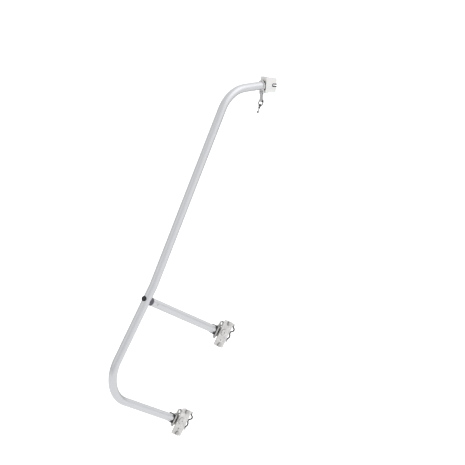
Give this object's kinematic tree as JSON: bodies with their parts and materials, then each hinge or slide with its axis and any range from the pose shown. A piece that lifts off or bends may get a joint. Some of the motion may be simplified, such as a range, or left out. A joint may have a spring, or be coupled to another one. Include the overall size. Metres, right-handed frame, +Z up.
{
  "type": "ladder stabilizer",
  "caption": "Bent-tube ladder stabilizer arm with a strut, two swivelling rail clamps and a tilting end block with a tethered lock pin.",
  "frame": {"origin": "middle of the lower clamp's mouth, where the ladder's side rail sits", "axes": "+Z straight up in use, on a ladder that leans; +X away from the user, towards the wall; Y across the ladder, square to the plane of the main tube and its arms, the outer cheeks facing -Y"},
  "size_m": [0.74, 0.1011, 1.0593],
  "materials": {
    "tube": "satin drawn tube",
    "saddle": "moulded, matt",
    "dark_steel": "darkened steel",
    "zinc": "zinc plated",
    "zinc_plate": "zinc plated, spangled",
    "white_plastic": "moulded, fine texture",
    "black_plastic": "moulded, matt",
    "rubber": "matt",
    "black_coated": "dip coated, semi gloss",
    "webbing": "woven polyester"
  },
  "bodies": {
    "frame": {"main_tube": "tube", "strut_tube": "tube", "strut_saddle": "saddle", "strut_washer": "dark_steel", "strut_bolt": "dark_steel", "strut_nut": "zinc", "strut_rivets": "zinc", "top_plug": "black_plastic", "top_rivet": "zinc", "hanger_plate": "white_plastic", "lower_plug": "black_plastic", "lower_yoke": "zinc", "lower_yoke_bolt": "zinc", "lower_yoke_nut": "zinc", "lower_pivot_pin": "zinc", "lower_pin_washers": "zinc", "lower_pin_cap": "zinc", "upper_plug": "black_plastic", "upper_yoke": "zinc", "upper_yoke_bolt": "zinc", "upper_yoke_nut": "zinc", "upper_pivot_pin": "zinc", "upper_pin_washers": "zinc", "upper_pin_cap": "zinc"},
    "lower_clamp": {"lower_carrier": "zinc", "lower_outer_cheek": "zinc_plate", "lower_cheek_bolt": "zinc_plate", "lower_cheek_nut": "zinc", "lower_finger_pad": "rubber", "lower_back_pad": "rubber"},
    "lower_keeper": {"lower_keeper": "black_coated"},
    "lower_top_screw": {"lower_top_screw": "zinc", "lower_top_screw_pad": "rubber"},
    "lower_bottom_screw": {"lower_bottom_screw": "zinc", "lower_bottom_screw_pad": "rubber"},
    "upper_clamp": {"upper_carrier": "zinc", "upper_outer_cheek": "zinc_plate", "upper_cheek_bolt": "zinc_plate", "upper_cheek_nut": "zinc", "upper_finger_pad": "rubber", "upper_back_pad": "rubber"},
    "upper_keeper": {"upper_keeper": "black_coated"},
    "upper_top_screw": {"upper_top_screw": "zinc", "upper_top_screw_pad": "rubber"},
    "upper_bottom_screw": {"upper_bottom_screw": "zinc", "upper_bottom_screw_pad": "rubber"},
    "block": {"end_block": "white_plastic", "block_pin": "white_plastic", "rod_clip": "black_plastic"},
    "strap": {"strap": "webbing"},
    "ring": {"tether_ring": "black_coated"},
    "lock_pin": {"lock_pin": "black_coated", "lock_pin_tip": "black_coated"}
  },
  "joints": [
    {"name": "lower_clamp_swivel", "type": "hinge", "parent": "frame", "child": "lower_clamp", "pos_m": [-0.02076, 0, 0.01565], "axis": [0.6018, 0, 0.7986], "range_deg": [-12, 40]},
    {"name": "lower_keeper_swing", "type": "hinge", "parent": "lower_clamp", "child": "lower_keeper", "pos_m": [0.0184, -0.018, -0.00134], "axis": [0.6018, 0, 0.7986], "range_deg": [0, 95]},
    {"name": "lower_top_screw_travel", "type": "slide", "parent": "lower_clamp", "child": "lower_top_screw", "axis": [0, -1, 0], "range_m": [0, 0.0055]},
    {"name": "lower_bottom_screw_travel", "type": "slide", "parent": "lower_clamp", "child": "lower_bottom_screw", "axis": [0, -1, 0], "range_m": [0, 0.0055]},
    {"name": "upper_clamp_swivel", "type": "hinge", "parent": "frame", "child": "upper_clamp", "pos_m": [0.16267, 0, 0.25907], "axis": [0.6018, 0, 0.7986], "range_deg": [-12, 40]},
    {"name": "upper_keeper_swing", "type": "hinge", "parent": "upper_clamp", "child": "upper_keeper", "pos_m": [0.20183, -0.018, 0.24208], "axis": [0.6018, 0, 0.7986], "range_deg": [0, 95]},
    {"name": "upper_top_screw_travel", "type": "slide", "parent": "upper_clamp", "child": "upper_top_screw", "axis": [0, -1, 0], "range_m": [0, 0.0055]},
    {"name": "upper_bottom_screw_travel", "type": "slide", "parent": "upper_clamp", "child": "upper_bottom_screw", "axis": [0, -1, 0], "range_m": [0, 0.0055]},
    {"name": "block_tilt", "type": "hinge", "parent": "frame", "child": "block", "pos_m": [0.4288, 0.05761, 0.99168], "axis": [0.0349, 0.9871, -0.1562], "range_deg": [-19, 1]},
    {"name": "strap_swing", "type": "hinge", "parent": "frame", "child": "strap", "pos_m": [0.40775, 0.05514, 0.97137], "axis": [0.0353, 0.9994, 0], "range_deg": [-30, 45]},
    {"name": "ring_swing", "type": "hinge", "parent": "strap", "child": "ring", "pos_m": [0.40775, 0.05514, 0.94557], "axis": [0.0353, 0.9994, 0], "range_deg": [-60, 30]},
    {"name": "lock_pin_swing", "type": "hinge", "parent": "ring", "child": "lock_pin", "pos_m": [0.40157, 0.05536, 0.93168], "axis": [0.0353, 0.9994, 0], "range_deg": [-60, 45]}
  ]
}
